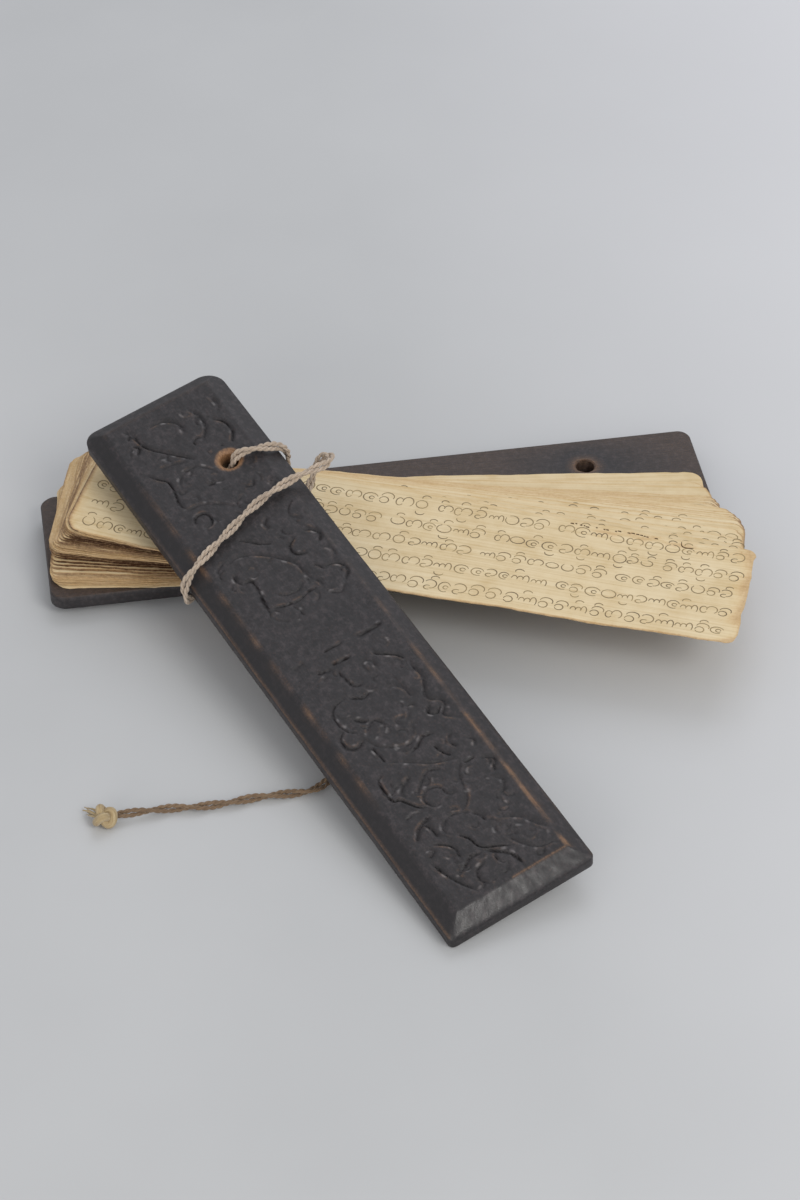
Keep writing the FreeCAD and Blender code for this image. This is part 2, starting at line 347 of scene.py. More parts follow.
# (u, v) along and across the cover; the ground is sunk on the left of each line as it is drawn.
# The first panel lies round the cord hole.
panel_one = [
    [(9.5, -12.5), (16, -12), (20, -10.5), (26, -5.5), (30, -2), (32.5, 0)],
    [(12, -6), (12.2, -2), (14, 1), (17, 3), (21, 2.4)],
    [(40, 3), (36, 0), (34.8, -3), (35.5, -6.5), (38, -9), (41, -9.5)],
    [(44.4, 1.2), (43.8, -1.8)],
    [(29.5, -16.5), (33, -14), (35, -12.3), (38, -12), (41, -12.5), (45, -13.5), (48, -13)],
    [(58, 3), (54, -1), (50.5, -6), (49.3, -9), (49.3, -13.5)],
    [(50.4, 12), (52.4, 10.6), (51.2, 8)],
    [(69, -5), (72, -2), (74.5, 0.5), (76.5, 3.5)],
    [(75.6, -12), (75, -9.6), (75.4, -7), (77, -3.5), (80, 0), (84, 3.5), (88, 6), (92, 6.5), (97, 7)],
    [(95, 4.5), (97, 1), (96.5, -3), (94, -6)],
    [(100, -11), (97, -10.5), (93, -10), (88, -9.2), (85.2, -9.6), (84.6, -12.4)],
    [(99.5, 7), (99.6, 3), (100.5, 0), (100, -5), (98.5, -9.5)],
    [(87, 15.5), (87.6, 17.6), (89.5, 18.9), (92, 18), (93.3, 15.3)],
    [(94, 13), (94.6, 16.5), (97, 18.6), (100, 18.3), (102.3, 15.6)],
    [(77.5, 15), (79.5, 17.6), (82, 18.8), (84.5, 16.8)],
    [(72.5, 16.6), (70, 14.3), (67, 15.6), (65, 18.4)],
    [(91, 10.2), (92.6, 11.7), (94.8, 12.5)],
    [(86, 11.2), (83.8, 8), (80.6, 8), (78.5, 11)],
    [(101.5, -3.5), (104, -2.6), (107, -2.2)],
    [(12, 17.4), (17, 17.8), (19.5, 15.8)],
    [(21, 13.5), (24, 16), (29, 16.5), (33, 14)],
    [(13, 8.5), (18, 10.5), (23, 9.5), (27, 6)],
    [(31.6, -3), (29.8, -7.5), (29.5, -12)],
    [(59, -11), (58.4, -8.4), (55.5, -7.5), (53, -9), (53.4, -12), (56, -13.3)],
    [(80, -12.8), (82.5, -13.8), (85.3, -12.6)],
    [(74.3, -13.4), (75.4, -16), (77.8, -17.6)],
    [(9, -14.2), (11, -13.2), (13, -15)],
    [(15.6, -14.6), (18, -13.2), (20, -15)],
    [(66, 8), (68.5, 5.5), (71, 5.8)],
    [(103.4, 15), (105.2, 12.4), (103, 9)],
]

# the second panel covers the far half
panel_two = [
    [(130, 8.5), (132, 9), (134, 11.5), (136, 14), (138.5, 15.5)],
    [(139, 17), (142, 16), (146, 16.5), (149, 16), (151, 15), (153.5, 13.5), (156, 14), (158, 16.5),
     (160, 17), (163, 14.5), (165, 16), (167, 18)],
    [(174, 15.2), (176, 17.3), (178.5, 16.2)],
    [(182.8, 15.6), (184, 17.4), (185.5, 18.8), (187.5, 17.4), (189.3, 16.4)],
    [(181.3, 14), (181.4, 10.2)],
    [(136.8, 3.6), (133.8, 3), (132.3, 4.4), (133.8, 6.2), (137.3, 6.6)],
    [(139.3, -0.8), (138, -3.2), (134, -4.2), (131, -4.5)],
    [(143, -0.4), (143.6, -3.2), (141.4, -6.8)],
    [(144.6, 4.6), (146, 8), (149, 9.6), (152.5, 9.5)],
    [(153.6, -12), (152, -13.6), (148, -14.9), (144, -14.4), (141.5, -12), (141, -8)],
    [(152, -6), (150.8, -7.8), (149, -9.6)],
    [(158.5, -4.5), (156, -3), (154, -3.6), (152.4, -5.2), (154, -7.6), (156.5, -9.2)],
    [(165, 3.5), (166.2, 0), (165.6, -3), (163.5, -6.2), (161, -9), (158, -10.6)],
    [(157.5, 12.5), (160, 10.8), (161.6, 13.2), (160, 15.2)],
    [(167, 8), (166.4, 4.4), (168.5, 1.2), (169, -1.8)],
    [(157, 4.2), (156.4, 1.2), (159, 0.8)],
    [(160.5, -10.8), (164, -10.3), (168, -10)],
    [(157, -11.5), (158.3, -14.6), (156.4, -17), (153, -17), (150.8, -15)],
    [(168, -9.5), (170, -6.6), (172.5, -3), (175, 0.2), (177, 4), (179, 9)],
    [(179.5, 3), (177.6, -0.4), (179, -3.4), (181.8, -6.6), (183, -9.5)],
    [(171, 5.8), (174, 6.5), (177, 8.2)],
    [(189.4, 3), (188, 0.2), (184.4, -1), (183.2, -4.6), (185.6, -7.3), (189.2, -6.2), (190, -3)],
    [(196, -0.2), (194, 3), (191, 5), (188, 5.6), (184, 6.7), (180.6, 9.8)],
    [(188.6, -7.8), (187, -10), (184, -12), (181.8, -13.4), (181, -15.2), (178, -15.8), (172.6, -15.3),
     (171, -13.5)],
    [(176.3, -6.6), (178, -10), (180.2, -12.6)],
    [(189.2, -9.6), (188.4, -13), (189, -16.4)],
    [(191.6, -9), (192.6, -12), (194.2, -15), (198, -17.2)],
    [(193, -12), (196, -11), (199.4, -10.7)],
    [(197.6, 2.4), (195.6, -1), (195, -4.2), (196.5, -7.2), (199.3, -8.2), (201.2, -6.4)],
    [(197.6, 2.4), (200, 4), (202.6, 4.6)],
    [(201.8, -5.4), (205, -3.2), (208, -2.5), (210, -1), (212, 3), (214, 6.2)],
    [(203.8, 8.6), (206, 12.4), (208, 14.5), (211, 16.2), (214.6, 18.6)],
    [(211, 7), (214, 8.4), (217.5, 11), (219.5, 14), (220, 17), (221.3, 19)],
    [(221.6, 5.5), (219, 5.6), (216, 4.5), (213.5, 2), (210.8, -1.4)],
    [(214.2, -3.6), (215.4, -7), (218.6, -8.2), (221.6, -6.6)],
    [(218.4, 2.2), (220.6, 0), (220, -3.4)],
    [(211, -3), (210.4, -6.2), (212, -9.2), (213.2, -12.4)],
    [(200.3, -13.8), (203, -10.2), (206, -8.6), (209.6, -9.2)],
    [(205.6, -12.6), (208, -11), (210.6, -11.6)],
    [(202.4, -14), (204.2, -16.8)],
    [(206, -17.3), (210.5, -16.2), (216, -14), (219, -12.2), (221.3, -11)],
    [(191, 14.5), (193, 16.8), (196, 15.4), (197, 12.4)],
    [(170, 12.5), (172.4, 10.6), (175.4, 11.4)],
]
# scratched lines across the cover, at the near end of the second panel
panel_two += [
    [(122.6, 17), (122.9, 12), (122.7, 7)], [(122.1, 2.5), (122.3, -5)], [(122.1, -12), (122.5, -16.4)],
    [(128.4, 1.8), (127.8, -5)], [(129.2, -6), (128, -10.6)],
]
ORNAMENT = panel_one + panel_two
print("lines of the ornament:", len(ORNAMENT))

# %% [markdown]
# Between the main lines a carver fills the ground with small cuts, so that no flat patch is left. They
# are short bent strokes thrown down at random from a fixed seed, inside the two panels.

# %% Small cuts between the lines
small_cuts = []
draw = random.Random(21)
for low, high, count in ((10, 109, 58), (130, 222, 74)):
    for _ in range(count):
        place = np.array([draw.uniform(low, high), draw.uniform(-18, 18)])
        way = draw.uniform(0, 6.28)
        bend = draw.choice((-1, 1)) * draw.uniform(0.3, 1.3)
        size = draw.uniform(0.9, 2.1)
        stroke = [place]
        for k in range(3):
            stroke.append(stroke[-1] + size * np.array([math.cos(way + k * bend), math.sin(way + k * bend)]))
        if max(abs(p[1]) for p in stroke) < 19 and 8.5 < min(p[0] for p in stroke):
            small_cuts.append(stroke)
print("small cuts:", len(small_cuts))

# %% [markdown]
# The depth at a point comes from the nearest point of each line: steep on one side, sloping on the other,
# and shallow towards the ends. A crest stands beside each cut, where wear, dust and a painted glint will show.

# %% Depth of the carving
def carved(u, v, lines, full_depth, width):
    """Depth below the face at each point, in millimetres, and how much it lies on a crest."""
    depth = np.zeros_like(u)
    crest = np.zeros_like(u)
    for number, points in enumerate(lines):
        line = curve_through(points)
        reach = width * (1 + 0.4 * math.sin(2.7 * number))
        deep = full_depth * (0.82 + 0.3 * math.sin(1.9 * number + 1))
        low, high = line.min(0) - 4, line.max(0) + 4
        where = np.nonzero((u > low[0]) & (u < high[0]) & (v > low[1]) & (v < high[1]))[0]
        if len(where) == 0:
            continue
        du = u[where, None] - line[:, 0]
        dv = v[where, None] - line[:, 1]
        nearest = np.hypot(du, dv).argmin(1)
        pick = np.arange(len(where))
        du, dv = du[pick, nearest], dv[pick, nearest]
        way = np.gradient(line, axis=0)[nearest]
        way /= np.linalg.norm(way, axis=1)[:, None]
        sideways = way[:, 0] * dv - way[:, 1] * du
        beyond = abs(way[:, 0] * du + way[:, 1] * dv)
        # the cut gets shallow towards both ends of its line
        t = nearest / (len(line) - 1)
        fade = np.clip(np.minimum(t, 1 - t) / 0.16, 0, 1) ** 0.6 * 0.8 + 0.2
        fade = fade * np.clip(1 - beyond / 0.8, 0, 1)
        slope, wall = np.clip(1 - sideways / reach, 0, 1) ** 1.6, np.clip(1 + sideways / 0.45, 0, 1)
        ground = np.where(sideways > 0, slope, wall)
        depth[where] = np.maximum(depth[where], deep * fade * ground)
        crest[where] = np.maximum(crest[where], fade * np.clip(1 - abs(sideways + 0.75) / 0.6, 0, 1))
    return depth * (1 + 0.15 * rumple(u, v, 7.0, 4.0)), crest


# %% [markdown]
# The plank itself: a fine grid for the outer face, strips down over the bevel and the side, and the flat
# inner face. Corners are rounded, edges wander by a tenth or two as hand work does, and the holes are
# cut by leaving out the grid's cells and joining the rim to the wall.

# %% The plank
def plank_outline(u, v, corners):
    """The face's edge point pushed out to the plank's own rounded outline."""
    half_l, half_w = COVER_LENGTH / 2, COVER_WIDTH / 2
    x = (u - half_l) * half_l / (half_l - BEVEL_WIDTH)
    y = v * half_w / (half_w - BEVEL_WIDTH)
    # corners are counted round the plank from the far one on the +v side
    radius = np.where(x > 0, np.where(y > 0, corners[0], corners[3]), np.where(y > 0, corners[1], corners[2]))
    cx, cy = half_l - radius, half_w - radius
    over_x, over_y = abs(x) - cx, abs(y) - cy
    corner = (over_x > 0) & (over_y > 0)
    pull = radius / np.maximum(np.hypot(over_x, over_y), 1e-6)
    x = np.where(corner, np.sign(x) * (cx + over_x * pull), x)
    y = np.where(corner, np.sign(y) * (cy + over_y * pull), y)
    return x + half_l, y


def ridge_wear(u, v):
    """Bare wood shows most on the +v ridge towards the far end, in broken lengths."""
    right = np.clip((u - 45) / 150, 0, 1) ** 1.3
    left = 0.7 * np.clip((u - 25) / 40, 0, 1) * np.clip((190 - u) / 30, 0, 1)
    broken = np.clip(0.55 + 0.75 * rumple(u, v * 0.1, 26.0, 3.0), 0, 1)
    near = 0.16 * np.clip((9 - u) / 2, 0, 1)
    return np.where(v > 0, right, left) * broken + near


VALUES = ("worn", "polish", "recess", "dusty")
FACE_HALF, FACE_RIGHT = COVER_WIDTH / 2 - BEVEL_WIDTH, COVER_LENGTH - BEVEL_WIDTH
# share of the way out, height and wear of each loop down over the bevel and the side
EDGE_STEPS = [(0.12, 8.72, 0.6), (0.3, 7.9, 0.1), (0.55, 6.95, 0), (0.8, 5.95, 0), (0.95, 5.3, 0.14),
              (1.0, 4.85, 0.08), (1.0, 3.6, 0.08), (1.0, 2.2, 0.08), (1.0, 0.75, 0.08)]
FOOT_INSET, FOOT_HEIGHT = 0.45, 0.02


def new_loop(plank, points, **values):
    """Adds points with their values to the plank and returns the points' numbers."""
    start = len(plank["points"])
    plank["points"] += list(points)
    for key in VALUES:
        plank[key] += list(np.broadcast_to(values.get(key, 0.0), len(points)))
    return list(range(start, len(plank["points"])))


def cut_holes(U, W, level, cells, holes):
    """Leaves out the cells over each hole and draws the rim to a slightly uneven circle."""
    middle_u, middle_v = U[cells].mean(1), W[cells].mean(1)
    keep = np.ones(len(cells), bool)
    rims = []
    for hu, hv, profile in holes:
        radius = profile[0][0]
        gone = np.hypot(middle_u - hu, middle_v - hv) < radius
        keep &= ~gone
        rim = np.intersect1d(cells[gone].ravel(), cells[~gone].ravel())
        angle = np.arctan2(W[rim] - hv, U[rim] - hu)
        rim = rim[np.argsort(angle)]
        angle = np.sort(angle)
        uneven = 1 + 0.05 * np.sin(2 * angle + 1.2) + 0.03 * np.sin(5 * angle)
        U[rim] = hu + radius * uneven * np.cos(angle)
        W[rim] = hv + radius * uneven * np.sin(angle)
        near = np.hypot(U - hu, W - hv) < radius + 1.8
        level[near] = COVER_THICK - 0.06
        rims.append((rim, angle))
    return cells[keep].tolist(), rims


def carved_face(holes, seed):
    """The plank so far: the carved grid of the outer face, with its faces, border and hole rims."""
    us = np.linspace(BEVEL_WIDTH, FACE_RIGHT, int((COVER_LENGTH - 2 * BEVEL_WIDTH) / FACE_STEP) + 1)
    vs = np.linspace(-FACE_HALF, FACE_HALF, int(2 * FACE_HALF / FACE_STEP) + 1)
    U, W = (a.ravel() for a in np.meshgrid(us, vs, indexing="ij"))
    # the face is not quite flat: years of handling have rounded the raised parts
    dents = 0.10 * np.clip(rumple(U, W, 11.0, seed + 9), 0, 1) + 0.05 * rumple(U, W, 3.7, seed + 4)
    depth, crest = carved(U, W, ORNAMENT, CARVED_DEPTH, CARVED_REACH)
    small_depth, small_crest = carved(U, W, small_cuts, SMALL_DEPTH, SMALL_REACH)
    depth, crest = np.maximum(depth, small_depth), np.maximum(crest, 0.8 * small_crest)
    level = COVER_THICK - depth - 0.06 * (1 + rumple(U, W, 40.0, seed)) - dents
    faces, rims = cut_holes(U, W, level, grid_faces(len(us), len(vs)), holes)
    ridge = np.minimum(np.minimum(U - BEVEL_WIDTH, FACE_RIGHT - U), FACE_HALF - abs(W))
    worn = 0.42 * np.exp(-(ridge / 0.35) ** 2) * ridge_wear(U, W)
    rubbed = np.clip(0.2 + 0.9 * rumple(U, W, 13.0, seed + 6), 0, 1) * (depth < 0.15)
    worn = np.maximum(worn, 0.34 * crest * rubbed)
    for hu, hv, profile in holes:
        beside = (profile[0][0] + 0.9 - np.hypot(U - hu, W - hv)) / 0.9
        worn = np.maximum(worn, 0.7 * np.clip(beside, 0, 1))
    plank = {"points": []} | {key: [] for key in VALUES}
    new_loop(plank, np.column_stack([U, W, level]), worn=worn, polish=0.25 * crest,
             # painted shade: the deeper a point lies in a cut, the darker it is painted
             recess=0.85 * np.clip(depth / 0.75, 0, 1) ** 1.1,
             # painted highlight, partly dust: pale glints on a few sharp crests
             dusty=0.6 * crest * np.clip(2.2 * rumple(U, W * 1.3, 8.0, seed + 2) - 1.0, 0, 1))
    return plank, faces, grid_border(len(us), len(vs)), rims


def bevel_loops(plank, border, corners, seed):
    """Loops from the face's edge down over the bevel and the side to the inner face."""
    bu, bv = np.array([plank["points"][i][:2] for i in border]).T
    ou, ov = plank_outline(bu, bv, corners)
    far_end = np.clip(bu - (FACE_RIGHT - 1.0), 0, 1)
    shaded = (bv < 1 - FACE_HALF) * (1 - far_end)
    wander = 0.08 * rumple(bu, bv, 61.0, seed + 3)
    loops = [border]
    for share, high, strength in EDGE_STEPS:
        cut = 0.10 * rumple(bu, bv * 3, 23.0, seed + high) * math.sin(math.pi * min(share, 0.98))
        nicks = far_end * (0.1 < share < 1) * -0.13 * np.exp(-((np.sin(bv * 1.9 + seed) - 1) / 0.03) ** 2)
        pu, pv = bu + (ou - bu) * share, bv + (ov - bv) * share
        places = np.column_stack([pu, pv + wander * share, high + cut + nicks - 0.05])
        # painted highlight, partly bare-wood wear: a thin pale line along the lower arris of the -v side
        arris_wear_and_highlight = 0.30 * shaded * (share == 0.95) * np.clip((bu - 40) / 40, 0, 1)
        worn = np.maximum(strength * ridge_wear(bu, bv) * (1 - far_end), arris_wear_and_highlight)
        # painted shade: the -v bevel faces away from the light, so it is painted darker
        recess = 0.85 * shaded * (0.2 < share < 0.9)
        glossy = np.clip(0.55 - bv / 60 + 0.45 * rumple(bu, bv * 2, 9.0, seed + share), 0, 1)
        polish = 0.12 + 0.88 * far_end * glossy * (share < 1)
        loops.append(new_loop(plank, places, worn=worn, polish=polish, recess=recess))
    mu, mv = COVER_LENGTH / 2, COVER_WIDTH / 2
    foot = np.column_stack([mu + (ou - mu) * (1 - FOOT_INSET / mu), ov * (1 - FOOT_INSET / mv),
                            np.full(len(ou), FOOT_HEIGHT)])
    loops.append(new_loop(plank, foot, worn=0.18, polish=0.1))
    return loops


def hole_loops(plank, rim, angle, hole):
    """Loops down the wall of a hole, from its rim to the inner face."""
    hu, hv, profile = hole
    loops = [list(rim)]
    for radius, high, bare in profile[1:]:
        uneven = 1 + (radius > 3.3) * (0.05 * np.sin(2 * angle + 1.2 + high) + 0.03 * np.sin(5 * angle))
        ring = np.column_stack([hu + radius * uneven * np.cos(angle), hv + radius * uneven * np.sin(angle),
                                np.full(len(angle), high)])
        loops.append(new_loop(plank, ring, worn=bare))
    return loops


def make_plank(name, to_row, corners, holes, seed):
    """holes: (u, v, [(radius, level, worn), ...]) from the outer face down to the inner one."""
    plank, faces, border, rims = carved_face(holes, seed)
    sides = bevel_loops(plank, border, corners, seed)
    faces += turned(ring_faces(sides))
    flat_loops = [sides[-1]]
    for (rim, angle), hole in zip(rims, holes):
        wall = hole_loops(plank, rim, angle, hole)
        faces += ring_faces(wall)
        flat_loops.append(wall[-1])
    points = np.array(plank["points"])
    faces += fill_flat(points, flat_loops)
    values = {key: plank[key] for key in VALUES} | {"grain": points}
    piece = make_piece(name, to_row(points), faces, wood, values)
    set_sharp(piece, 38)
    print(name, "points", len(points), "faces", len(faces))
    return piece


def fill_flat(points, loops):
    """Triangles for the flat inner face between its outline and its holes."""
    work = bmesh.new()
    back = []
    edges = []
    for loop in loops:
        made = [work.verts.new(points[i]) for i in loop]
        back += loop
        edges += [work.edges.new((made[n], made[(n + 1) % len(made)])) for n in range(len(made))]
    work.verts.index_update()
    bmesh.ops.triangle_fill(work, use_beauty=True, use_dissolve=False, edges=edges, normal=(0, 0, -1))
    work.verts.index_update()
    faces = []
    for f in work.faces:
        f.normal_update()
        order = [back[v.index] for v in f.verts]
        faces.append(order if f.normal.z < 0 else order[::-1])
    work.free()
    return faces


def set_sharp(piece, degrees):
    """Shading breaks where two faces meet at more than this angle."""
    work = bmesh.new()
    work.from_mesh(piece.data)
    bmesh.ops.recalc_face_normals(work, faces=work.faces)
    for edge in work.edges:
        if len(edge.link_faces) == 2:
            edge.smooth = edge.calc_face_angle(0) < math.radians(degrees)
    work.to_mesh(piece.data)
    work.free()


# %% [markdown]
# The upper cover leans, so its own frame (along, across, out of the inner face) is worked out here from
# the same few numbers as in the structure: the line of the top leaf's front edge and the far corner
# that touches the table.

# %% Where the covers lie
def flat_way(yaw):
    a = math.radians(yaw)
    return np.array([math.cos(a), math.sin(a), 0.0])


def unit_of(v):
    return v / np.linalg.norm(v)


LEAF_WIDTH, LEAF_HOLE_OFF_CENTRE = 49.4, 7.5
STACK_TOP, LEAN_GAP = 24.0, 4.4
# the strung cord's way through the leaf holes, from the lower cover's face to the top leaf
LEAN = [(-76.0, 9.5, 9.4), (-74.4, 10.8, 14.8), (-70.6, 9.9, 19.4), (-64.1, 5.0, 24.0)]
TOP_YAW, UPPER_YAW = -23.5, -66.51
TABLE_CORNER = np.array([-7.90, -189.52, -0.32])

top_leaf_hole = np.array([*LEAN[-1][:2], 0.0])
leaf_front = flat_way(TOP_YAW - 90)
edge_reach = top_leaf_hole @ leaf_front + LEAF_WIDTH / 2 + LEAF_HOLE_OFF_CENTRE
tilt = math.atan((STACK_TOP + LEAN_GAP - TABLE_CORNER[2]) / (TABLE_CORNER @ leaf_front - edge_reach))
out_of = np.array([0, 0, math.cos(tilt)]) + leaf_front * math.sin(tilt)
along = unit_of(np.cross(flat_way(UPPER_YAW + 90), out_of))
across = np.cross(out_of, along)
cover_end = TABLE_CORNER - along * COVER_LENGTH + across * (COVER_WIDTH / 2)
print("the upper cover leans at", round(math.degrees(tilt), 2), "degrees")


def on_cover(points):
    p = np.atleast_2d(np.asarray(points, float))
    return cover_end + p[:, :1] * along + p[:, 1:2] * across + p[:, 2:3] * out_of


def on_table(points):
    p = np.asarray(points, float)
    return np.column_stack([p[:, 0] - COVER_LENGTH / 2, -p[:, 1], COVER_THICK - p[:, 2]])


# %% [markdown]
# The holes were worn by the cord: each is a list of steps from the outer face down to the inner one, wider
# at the mouths. The lower cover also has the seat of the stop knot, and a second, free hole.

# %% Both covers
HOLE_FROM_END, HOLE_OFF_CENTRE = 39.0, 9.5
FREE_HOLE_FROM_END, FREE_HOLE_OFF_CENTRE = 40.0, 12.5
# radius, level and wear of each step
worn_mouth = [(4.4, 9, 0.6), (4.0, 8.65, 0.74), (3.55, 8.4, 0.82), (3.15, 8.0, 0.82),
              (2.95, 5.6, 0.74), (3.25, 0.4, 0.1), (3.5, 0.02, 0.1), (5, 0.02, 0)]
knot_seat = [(5.0, 9, 0.3), (5.0, 7.5, 0.1), (4.8, 4.0, 0.1), (3.3, 4.0, 0.1),
             (3.25, 2.5, 0.1), (3.25, 0.4, 0.2), (3.5, 0.02, 0.2), (5, 0.02, 0)]
free_mouth = [(3.5, 9, 0.2), (3.25, 8.7, 0.2), (3.25, 6, 0.2), (3.25, 0.5, 0.3),
              (3.7, 0.02, 0.42), (4.6, 0.02, 0.26), (5.8, 0.02, 0.12), (7.4, 0.02, 0)]
upper_holes = [(HOLE_FROM_END, HOLE_OFF_CENTRE, worn_mouth)]
upper_cover = make_plank("carved_upper_cover", on_cover, UPPER_CORNERS, upper_holes, 1.0)
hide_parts("upper_cover")
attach(upper_cover, "cover")
lower_holes = [(HOLE_FROM_END, -HOLE_OFF_CENTRE, knot_seat),
               (COVER_LENGTH - FREE_HOLE_FROM_END, -FREE_HOLE_OFF_CENTRE, free_mouth)]
lower_cover = make_plank("carved_lower_cover", on_table, LOWER_CORNERS, lower_holes, 5.0)
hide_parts("lower_cover")
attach(lower_cover, "base")

# %% [markdown]
# ## The leaves
#
# Every leaf is cut by hand, so no two have the same length, width or corners. The grid of a leaf is
# stretched between its two ragged ends. At the left the pile has opened a little, group by group, which
# gives the dark gaps between its edges.

# %% Size and place of each leaf
LEAF_COUNT, LEAF_PITCH, LEAF_THICK = 32, 0.468, 0.42
LEAF_LENGTH, TOP_LEAF_LENGTH = 224.5, 226.5
LEAF_HOLE_FROM_END, LEAF_HOLE_RADIUS = 34.0, 3.4
LEAF_BELLY, LEAF_FLARE, LEAF_BASE = 1.4, 2.2, 9.03
# leaf counted from the lowest as 0, and its angle; the five top leaves have angles of their own
FAN = [(0, -6.6), (1, -8.2), (3, -9.0), (4, -10.0), (6, -10.6), (7, -12.2), (15, -14.8), (26, -18.0)]
FAN_TOP = (-18.9, -19.8, -21.2, -22.4, -23.5)
STRUNG = np.array([HOLE_FROM_END - COVER_LENGTH / 2, HOLE_OFF_CENTRE, 0.0])


def spread(n, k):
    """A number from -1 to 1 that looks random but is the same on each run."""
    return math.sin(12.9898 * (n + 1) + 78.233 * (k + 1))


def fan_angle(n):
    close = LEAF_COUNT - len(FAN_TOP)
    if n >= close:
        return FAN_TOP[n - close]
    ease = 0.0 if n == 0 else 0.25 * spread(n, 5)
    return float(np.interp(n, [f[0] for f in FAN], [f[1] for f in FAN])) + ease


def leaf_size(n):
    top_one = n == LEAF_COUNT - 1
    length = TOP_LEAF_LENGTH if top_one else LEAF_LENGTH + 1.6 * spread(n, 0)
    half = LEAF_WIDTH / 2 - LEAF_BELLY - LEAF_FLARE / 2 + (0 if top_one else 0.45 * spread(n, 1))
    slip = 0 if top_one else 0.7 * spread(n, 6)
    hole = np.array([-length / 2 + LEAF_HOLE_FROM_END + slip, LEAF_HOLE_OFF_CENTRE])
    return length, half, hole, [4.0 + 1.6 * spread(n, 2 + k) for k in range(4)]


def leaf_place(n, hole, points):
    """From the leaf's own length and width to the row frame."""
    z = LEAF_BASE + n * LEAF_PITCH
    levels = [step[2] for step in LEAN]
    centre = [np.interp(z + LEAF_THICK / 2, levels, [step[k] for step in LEAN]) for k in (0, 1)]
    a = math.radians(fan_angle(n))
    x, y = points[:, 0] - hole[0], points[:, 1] - hole[1]
    return np.column_stack([centre[0] + x * math.cos(a) - y * math.sin(a),
                            centre[1] + x * math.sin(a) + y * math.cos(a), z + points[:, 2]])


# the left ends open a little, most of it in two gaps, and no leaf is lifted less than the one below it
OPEN_ABOVE = {2: 0.15, 3: 0.4, 6: 0.2, 10: 1.25, 12: 0.2, 15: 0.3, 18: 0.2, 20: 1.15, 24: 0.3, 27: 0.2,
              28: 0.3}
lift_of = [0.0]
for n in range(1, LEAF_COUNT):
    lift_of.append(lift_of[-1] + OPEN_ABOVE.get(n, 0.02))


def slid_front(n):
    """The lowest leaves slid a little to the front, over the cover's edge."""
    return float(np.interp(n, [0, 1, 4, 9], [3.0, 2.6, 1.8, 0.0]))


def leaf_rise(n, x, y):
    """Height of the leaf above its flat place, never less than that of the leaf below."""
    left = np.clip((-62 - x) / 50, 0, None)
    rise = lift_of[n] * 0.5 * left ** 2
    if n == LEAF_COUNT - 1:
        rise = rise + 0.30 * (1 + rumple(x, y * 0.6, 90.0, 0.7)) * np.clip((x + 20) / 60, 0, 1)
        right = np.clip((x - 78) / 36, 0, 1)
        rise = rise + 1.2 * right ** 2 * np.clip((y + 6) / 26, 0, 1) ** 2
    return rise


def skin_height(n, x, y):
    """Height of a leaf's lower skin; the leaves lie a few hundredths of a millimetre apart."""
    return leaf_rise(n, x, y) + 0.06 + 0.07 * math.sin(2.1 * n) * 0.8


print("last leaf's left end is lifted", round(lift_of[-1] * 0.5, 2), "mm")

# %% [markdown]
# A leaf is a thin slab with an upper and a lower skin. Its straight grid is pushed out to the rounded and
# bitten outline, browned at its edges, and given the round hole for the cord. The six leaves that can be
# seen from above have a finer grid, because their rows of writing lie close over it.

# %% Shape of a leaf
SKIN = 0.30
WRITTEN = 6
PATCH, PATCH_CELLS = 4.4, 4


def swell(x, y, length, half):
    """How far a point moves sideways, because a leaf is wider at its strung end and in its middle."""
    more = LEAF_BELLY * (1 - (2 * x / length) ** 2) + LEAF_FLARE * (0.5 - x / length)
    return more * np.sign(y) * np.abs(y / half) ** 2.2


def leaf_grid(length, half, hole, fine):
    """Grid lines along and across: close together at the edges, five each way round the cord hole."""
    step = 1.6 if fine else 3.0
    left, right = hole[0] - PATCH, hole[0] + PATCH
    xs = [np.linspace(-length / 2 + 6, left, int((left + length / 2 - 6) / step) + 1),
          np.linspace(left, right, PATCH_CELLS + 1),
          np.linspace(right, length / 2 - 6, int((length / 2 - 6 - right) / step) + 1)]
    edge = np.array([0.0, 0.4, 1.0, 2.0, 3.6])
    xs = np.unique(np.round(np.concatenate([-length / 2 + edge, *xs, length / 2 - edge]), 5))
    side = np.array([0.0, 0.35, 0.9, 1.8, 3.0, 4.6])
    ys = [np.linspace(-half + 6.5, hole[1] - PATCH, 6 if fine else 4),
          np.linspace(hole[1] - PATCH, hole[1] + PATCH, PATCH_CELLS + 1)]
    return xs, np.unique(np.round(np.concatenate([-half + side, *ys, half - side]), 5))


def leaf_outline(n, X, Y, length, half, corners):
    """Moves the grid's points to the outline of this leaf."""
    shape_x = X.copy()
    # rounded corners at both ends, and small bites, deeper at the right one
    for sign, low, high, bites, nibbles in ((-1, corners[2], corners[1], 0.5, 0.5),
                                            (1, corners[3], corners[0], 1.1, 1.3)):
        over = np.where(Y > 0, Y - (half - high), -Y - (half - low))
        radius = np.where(Y > 0, high, low)
        over = np.clip(over, 0, radius)
        round_off = radius - np.sqrt(np.maximum(radius ** 2 - over ** 2, 0))
        ragged = np.maximum(0, rumple(Y, 0, 17.0, n * 1.3 + sign)) * bites
        ragged = ragged + np.maximum(0, rumple(Y, 0, 4.0, n * 2.1 + sign) - 0.35) * nibbles
        share = np.clip((sign * X - length / 2 + 30) / 30, 0, 1)
        shape_x -= sign * (round_off + ragged) * share
    wavy = 0.28 * rumple(X, 0, 47.0, n * 0.9) + 0.16 * rumple(X, 0, 9.0, n * 3.3)
    to_edge, to_front = np.clip(abs(Y) / half, 0, 1) ** 6, np.clip(-Y / half, 0, 1) ** 3
    shape_y = Y + swell(X, Y, length, half) + np.sign(Y) * wavy * to_edge - slid_front(n) * to_front
    # at the strung end the front edges stand in and out a little, leaf by leaf
    if 0 < n < LEAF_COUNT - 1:
        shape_y = shape_y + 0.8 * spread(n, 11) * to_front * np.clip((-X - 20) / 50, 0, 1)
    return shape_x, shape_y


